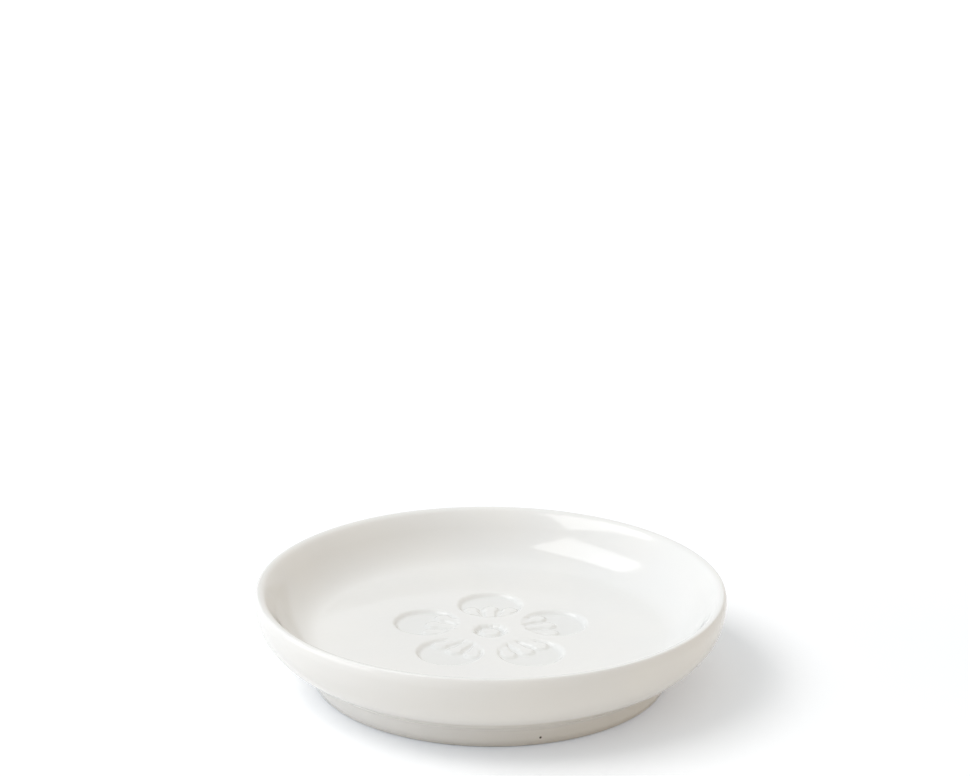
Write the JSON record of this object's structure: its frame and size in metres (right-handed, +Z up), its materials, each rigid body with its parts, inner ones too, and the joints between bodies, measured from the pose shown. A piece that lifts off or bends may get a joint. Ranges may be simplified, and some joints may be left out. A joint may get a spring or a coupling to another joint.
{
  "type": "sauce dish",
  "caption": "Small round white porcelain sauce dish with a thick rounded lip, full belly, blossom relief sunk in its flat floor and a low foot ring.",
  "frame": {"origin": "on the dish's axis, in the plane of its standing edge", "axes": "+Z up along the dish's axis, +Y away from the viewer of the picture, +X to the viewer's right"},
  "size_m": [0.095, 0.095, 0.019],
  "materials": {
    "body_clay": "matte",
    "foot_clay": "matte",
    "slip": "matte",
    "glaze": "gloss",
    "well_glaze": "gloss"
  },
  "bodies": {
    "root": {"pressed_body": "body_clay", "foot_ring": "foot_clay", "luting_slip": "slip", "glaze_coat": "glaze", "well_glaze": "well_glaze"}
  },
  "joints": []
}
